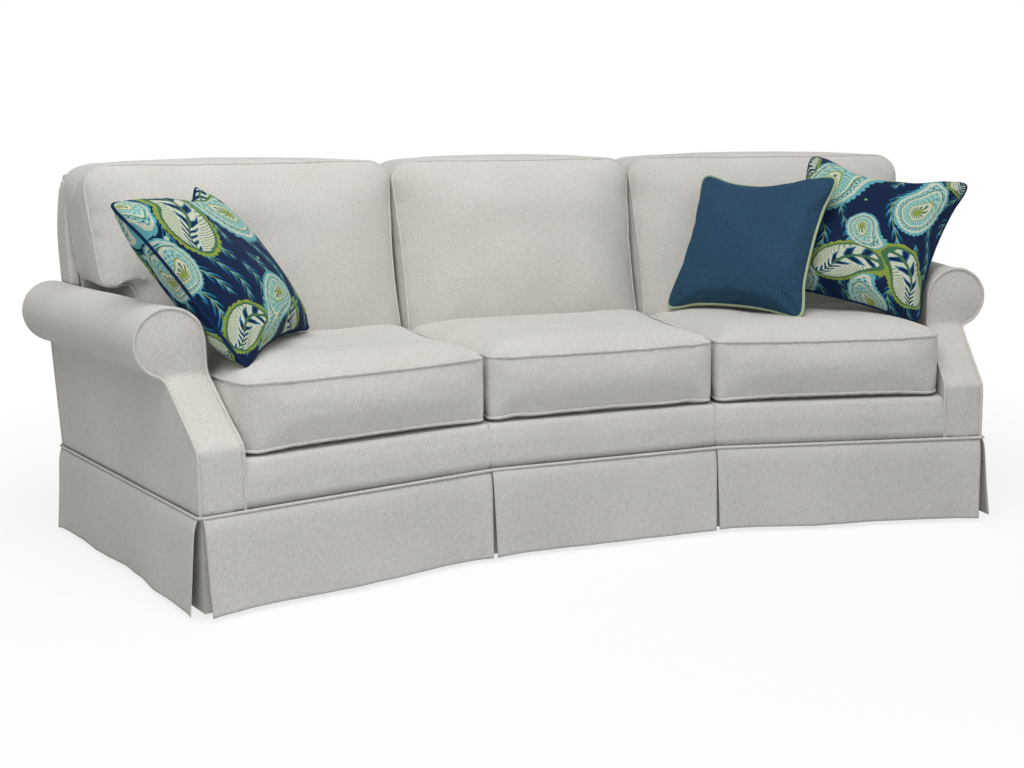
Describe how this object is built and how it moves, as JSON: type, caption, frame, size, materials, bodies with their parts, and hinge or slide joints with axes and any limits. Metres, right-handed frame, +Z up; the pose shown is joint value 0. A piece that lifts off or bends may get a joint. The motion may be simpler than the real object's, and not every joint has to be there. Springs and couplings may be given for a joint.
{
  "type": "conversation sofa",
  "caption": "Concave conversation sofa with low sock arms, loose boxed seat and back cushions, pleated skirt and throw pillows.",
  "frame": {"origin": "centre of the bounding box, at floor level", "axes": "+X to the right as seen from the front, +Y to the back, +Z up"},
  "size_m": [2.565, 1.11, 0.9219],
  "materials": {
    "body_linen": "matte",
    "cushion_linen": "matte",
    "paisley_print": "matte",
    "teal_weave": "matte",
    "deck_cloth": "matte",
    "black_lining": "matte",
    "frame_poplar": "matte",
    "plywood": "matte",
    "dark_beech": "satin",
    "glide_nickel": "satin",
    "spring_steel": "satin",
    "screw_zinc": "satin"
  },
  "bodies": {
    "frame": {"arm_face_left": "body_linen", "arm_face_right": "body_linen", "arm_front_boards": "plywood", "arm_side_panel_left": "plywood", "arm_side_panel_right": "plywood", "arm_top_boards": "plywood", "back_posts": "frame_poplar", "back_rail_center": "frame_poplar", "back_rail_left": "frame_poplar", "back_rail_right": "frame_poplar", "back_shoulder_left": "body_linen", "back_shoulder_right": "body_linen", "corner_blocks": "frame_poplar", "corner_screws": "screw_zinc", "dust_cover": "black_lining", "front_border_center": "body_linen", "front_border_left": "body_linen", "front_border_right": "body_linen", "front_rail_center": "frame_poplar", "front_rail_left": "frame_poplar", "front_rail_right": "frame_poplar", "inside_arm_left": "body_linen", "inside_arm_right": "body_linen", "inside_back_center": "body_linen", "inside_back_left": "body_linen", "inside_back_right": "body_linen", "leg_glides": "glide_nickel", "legs": "dark_beech", "outside_arm_left": "body_linen", "outside_arm_right": "body_linen", "outside_back": "body_linen", "pleat_inserts": "body_linen", "seat_cross_rails": "frame_poplar", "seat_deck": "deck_cloth", "seat_springs": "spring_steel", "side_rail_left": "frame_poplar", "side_rail_right": "frame_poplar", "skirt_back": "body_linen", "skirt_front_center": "body_linen", "skirt_front_left": "body_linen", "skirt_front_right": "body_linen", "skirt_side_left": "body_linen", "skirt_side_right": "body_linen", "skirt_welt": "body_linen", "spring_clips": "spring_steel", "top_rail_center": "frame_poplar", "top_rail_left": "frame_poplar", "top_rail_right": "frame_poplar"},
    "seat_cushion_left": {"seat_cushion_left": "cushion_linen"},
    "back_cushion_left": {"back_cushion_left": "cushion_linen"},
    "seat_cushion_center": {"seat_cushion_center": "cushion_linen"},
    "back_cushion_center": {"back_cushion_center": "cushion_linen"},
    "seat_cushion_right": {"seat_cushion_right": "cushion_linen"},
    "back_cushion_right": {"back_cushion_right": "cushion_linen"},
    "pillow_left": {"pillow_left": "paisley_print"},
    "pillow_right": {"pillow_right": "paisley_print"},
    "pillow_plain": {"pillow_plain": "teal_weave"}
  },
  "joints": [
    {"name": "lift_seat_cushion_left", "type": "slide", "parent": "frame", "child": "seat_cushion_left", "axis": [0, 0, 1], "range_m": [0, 0.28]},
    {"name": "lift_seat_cushion_center", "type": "slide", "parent": "frame", "child": "seat_cushion_center", "axis": [0, 0, 1], "range_m": [0, 0.28]},
    {"name": "lift_seat_cushion_right", "type": "slide", "parent": "frame", "child": "seat_cushion_right", "axis": [0, 0, 1], "range_m": [0, 0.28]},
    {"name": "lift_back_cushion_left", "type": "slide", "parent": "frame", "child": "back_cushion_left", "axis": [-0.0563, 0.244, 0.9681], "range_m": [0, 0.4]},
    {"name": "lift_back_cushion_center", "type": "slide", "parent": "frame", "child": "back_cushion_center", "axis": [0, 0.2504, 0.9681], "range_m": [0, 0.4]},
    {"name": "lift_back_cushion_right", "type": "slide", "parent": "frame", "child": "back_cushion_right", "axis": [0.0563, 0.244, 0.9681], "range_m": [0, 0.4]},
    {"name": "lift_pillow_left", "type": "slide", "parent": "seat_cushion_left", "child": "pillow_left", "axis": [0, 0, 1], "range_m": [0, 0.3]},
    {"name": "lift_pillow_right", "type": "slide", "parent": "seat_cushion_right", "child": "pillow_right", "axis": [0, 0, 1], "range_m": [0, 0.3]},
    {"name": "lift_pillow_plain", "type": "slide", "parent": "pillow_right", "child": "pillow_plain", "axis": [0, 0, 1], "range_m": [0, 0.3]}
  ]
}
